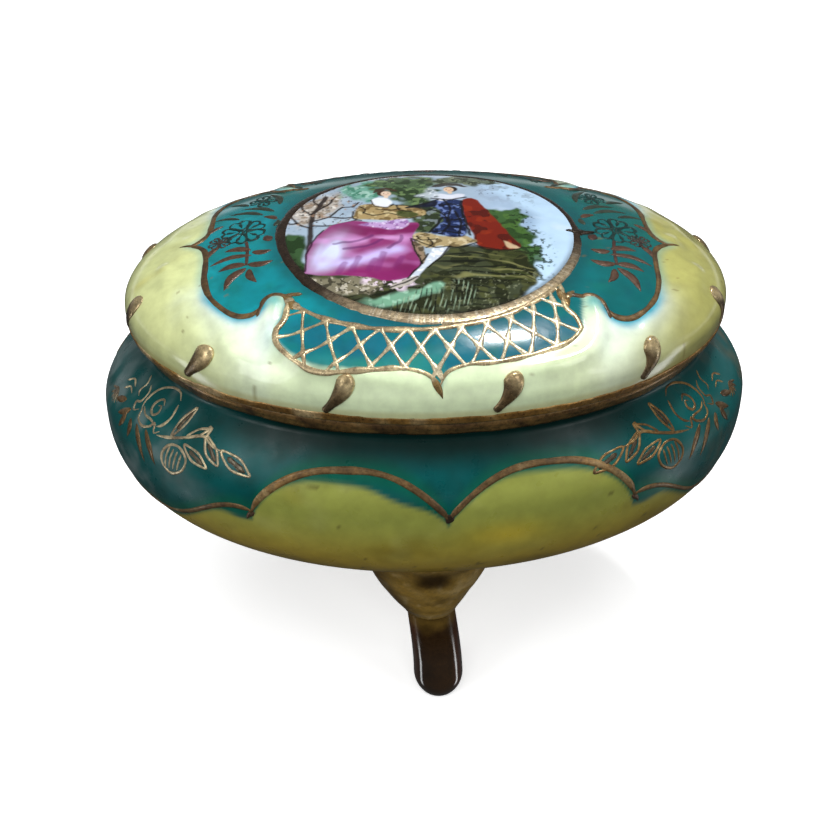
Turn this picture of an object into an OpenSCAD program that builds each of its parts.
// Oval porcelain trinket box on three gilt feet, with a domed lift-off lid.
// Millimetres, +Z up. The origin is on the ground, under the middle of the oval.
// X runs along the long axis of the oval, and the single foot stands on the -Y side, the front.

/* [Bowl] */
// Length of the bowl at its widest
bowl_length = 111; // [105:1:118]
// Front-to-back size of every oval, as a share of its length
oval_ratio = 0.72; // [0.65:0.01:0.9]
// Height of the bowl's widest line above the ground
widest_height = 52.5; // [50:0.5:56]
// Height of the middle of the bowl's underside
underside_height = 29.5; // [27:0.5:32]
// Height of the mouth's rim
rim_height = 66.8; // [65:0.2:72]
// Length of the mouth, measured outside
mouth_length = 98; // [96:0.5:99.5]
// Thickness of the fired wall
wall = 3.2; // [2.6:0.1:3.6]

/* [Lid] */
// Length of the lid at its widest
lid_length = 101.4; // [100:0.2:103]
// Height of the dome above the lid's edge
dome_rise = 15; // [12:0.5:18]
// Height of the rounded border below the dome
border_height = 3.4; // [2.5:0.1:4]
// Gap between the lid's seat and the rim
seat_gap = 0.2; // [0.1:0.05:0.4]
// Depth of the ring that drops into the mouth
ring_depth = 4; // [3:0.5:6]
// Play between that ring and the mouth, on each side
ring_play = 0.9; // [0.6:0.1:1.5]
// Thickness of the locating ring
ring_wall = 2; // [1.6:0.1:2.5]

/* [Feet] */
// Distance of the front foot's pad from the middle
front_foot_reach = 21.8; // [20:0.2:25]
// Sideways distance of each rear foot's pad from the middle
rear_foot_side = 25; // [20:0.5:28]
// Distance of the rear feet's pads behind the middle
rear_foot_reach = 21; // [16:0.5:24]
// Radius of the toe at its thickest
toe_radius = 4.4; // [3.5:0.1:5]
// Radius of the knee where it meets the bowl
knee_radius = 9.8; // [8:0.2:12]
// Height of the waist between knee and toe
waist_height = 18; // [16:0.5:20]
// Outward lean of the toe, in degrees
toe_lean = 12; // [0:1:14]

/* [Rim scrolls] */
// Number of raised gilt scrolls around the lid's border
scroll_count = 12; // [6:2:14]
// Radius of a scroll's round head
scroll_head = 1.5; // [1:0.05:1.8]
// How far in from the lid's edge a scroll's head sits
scroll_length = 2.6; // [2:0.2:4]
// Turn of the whole ring of scrolls about the middle, in degrees
scroll_turn = -4.5; // [-15:0.5:15]

/* [Hidden] */
$fn = 64;

porcelain_teal = "#1f7f7c";
porcelain_cream = "#dfe2a8";
gilt = "#8f6f35";
unglazed = "#efe9dc";

bowl_radius = bowl_length / 2;
mouth_radius = mouth_length / 2;
lid_radius = lid_length / 2;
lid_base = rim_height + seat_gap;
lid_shell = 2.8;
curve_steps = 24;

// The bowl's side: a soft-cornered curve from the underside up to the widest line,
// a shoulder that draws in to the neck, and a short lip that flares to the mouth.
side_squareness = 2.9;
side_flatness = 2.75;
shoulder_power = 1.8;
neck_depth = 3.6;
neck_inset = 1.2;
lip_round = 0.9;
neck_height = rim_height - neck_depth;
neck_radius = mouth_radius - neck_inset;

function lower_radius(t, r, squareness) = r * pow(1 - pow(t, side_flatness), 1 / squareness);
function shoulder_radius(t) = bowl_radius - (bowl_radius - neck_radius) * pow(t, shoulder_power);

// From the middle of the underside to the widest line; turn runs from 90 at the middle to 0.
function lower_curve(radius, bottom, squareness) = [
    for (i = [0 : curve_steps])
        let (t = sin(90 * (1 - i / curve_steps)))
        [lower_radius(t, radius, squareness), widest_height - (widest_height - bottom) * t]
];
function shoulder_curve(inset) = [
    for (i = [1 : curve_steps / 2])
        let (t = i / (curve_steps / 2))
        [shoulder_radius(t) - inset, widest_height + (neck_height - widest_height) * t]
];
lip_curve = [
    [mouth_radius - 0.45, rim_height - neck_depth / 2],
    [mouth_radius, rim_height - lip_round],
    [mouth_radius - lip_round / 2, rim_height]
];
function reversed(points) = [for (i = [len(points) - 1 : -1 : 0]) points[i]];

// Turns an outline about Z and flattens it front to back, one quarter at a time.
module oval() {
    for (quarter = [0 : 90 : 270])
        scale([1, oval_ratio, 1]) rotate([0, 0, quarter]) rotate_extrude(angle = 90) children();
}

module bowl_outline() {
    polygon(concat(lower_curve(bowl_radius, underside_height, side_squareness),
                   shoulder_curve(0), lip_curve, [[0, rim_height]]));
}

module bowl() {
    inside_radius = bowl_radius - wall;
    mouth_inside = mouth_radius - wall;
    color(porcelain_teal) oval() polygon(concat(
        lower_curve(bowl_radius, underside_height, side_squareness),
        shoulder_curve(0),
        lip_curve,
        [[mouth_inside + lip_round / 2, rim_height], [mouth_inside, rim_height - lip_round]],
        [[mouth_inside, neck_height]],
        reversed(shoulder_curve(wall)),
        reversed(lower_curve(inside_radius, underside_height + wall, side_squareness))
    ));
}

// A foot stands on the ground with its outer side towards -Y: a flaring knee under the bowl,
// a waist, and a toe that leans out and ends in a small flat pad.
toe_top = waist_height;
pad_cut = 0.5;
knee_height = 9;
knee_lip = 1.7;
waist_radius = toe_radius + 0.35;
knee_forward = 1.3;
rear_foot_bearing = 130;

// The round end's middle is at the origin.
module toe() {
    sphere(r = toe_radius);
    cylinder(h = toe_top, r1 = toe_radius, r2 = toe_radius * 0.96);
}

module knee() {
    steps = 8;
    top = widest_height;
    rotate_extrude() polygon(concat(
        [[0, waist_height - knee_lip], [waist_radius * 0.72, waist_height - knee_lip * 0.8]],
        [for (i = [0 : steps]) let (t = i / steps)
            [waist_radius + (knee_radius - waist_radius) * (1 - pow(1 - t, 1.35)),
             waist_height + knee_height * t]],
        [[knee_radius, top], [0, top]]
    ));
}

module foot(side, back, bearing) {
    color(gilt) difference() {
        translate([side, back, 0]) rotate([0, 0, bearing]) {
            difference() {
                translate([0, 0, toe_radius - pad_cut]) rotate([-toe_lean, 0, 0]) toe();
                translate([-knee_radius, -knee_radius, -knee_radius]) cube([2, 2, 1] * knee_radius);
            }
            translate([0, (waist_height - toe_radius) * tan(toe_lean) - knee_forward, 0]) knee();
        }
        oval() bowl_outline();
    }
}

module front_foot() foot(0, -front_foot_reach, 0);
module rear_left_foot() foot(-rear_foot_side, rear_foot_reach, -rear_foot_bearing);
module rear_right_foot() foot(rear_foot_side, rear_foot_reach, rear_foot_bearing);

// The lid: a pillow dome above a rounded border, hollow underneath.
dome_power = 2.6;
border_bulge = 0.6;
seat_width = 3.4;
dome_base = lid_base + border_height;
dome_peak = dome_rise - border_height;

function dome_height(share) = dome_peak * sqrt(1 - pow(share, dome_power));
function dome_curve(radius, drop) = [
    for (i = [0 : curve_steps])
        let (share = cos(90 * (1 - i / curve_steps)))
        [radius * share, dome_base - drop + dome_height(share)]
];

module lid() {
    inner_radius = lid_radius - lid_shell;
    seat_inside = lid_radius - border_bulge - seat_width;
    color(porcelain_cream) oval() polygon(concat(
        dome_curve(lid_radius, 0),
        [[lid_radius, dome_base - 1.2],
         [lid_radius - border_bulge / 3, lid_base + 0.9],
         [lid_radius - border_bulge, lid_base]],
        [[seat_inside, lid_base]],
        reversed(dome_curve(seat_inside, lid_shell + 0.4))
    ));
}

module lid_locating_ring() {
    outside = mouth_radius - wall - ring_play;
    inside = outside - ring_wall;
    foot_round = 0.5;
    color(unglazed) oval() polygon([
        [outside, lid_base],
        [outside, lid_base - ring_depth + foot_round],
        [outside - foot_round, lid_base - ring_depth],
        [inside + foot_round, lid_base - ring_depth],
        [inside, lid_base - ring_depth + foot_round],
        [inside, lid_base]
    ]);
}

// One raised scroll: a round head up on the dome and a tail that thins down the border.
module scroll(turn) {
    lean = 0.9;
    sink = 0.4;
    head_share = 1 - scroll_length / lid_radius;
    middle_share = 1 - 0.35 * scroll_length / lid_radius;
    module bead(share, height, swing, size)
        translate([lid_radius * share * sin(turn + swing),
                   -lid_radius * oval_ratio * share * cos(turn + swing),
                   height - sink])
            sphere(r = size, $fn = 12);
    module head() bead(head_share, dome_base + dome_height(head_share), lean, scroll_head);
    module middle() bead(middle_share, dome_base + dome_height(middle_share), lean / 2,
                         scroll_head * 0.85);
    module tail() bead(1, lid_base + border_height * 0.6, -lean, scroll_head * 0.4);
    hull() {
        head();
        middle();
    }
    hull() {
        middle();
        tail();
    }
}

module lid_rim_scrolls() {
    color(gilt) for (i = [0 : scroll_count - 1])
        scroll(360 * (i + 0.5) / scroll_count + scroll_turn);
}

bowl();
front_foot();
rear_left_foot();
rear_right_foot();
lid();
lid_locating_ring();
lid_rim_scrolls();
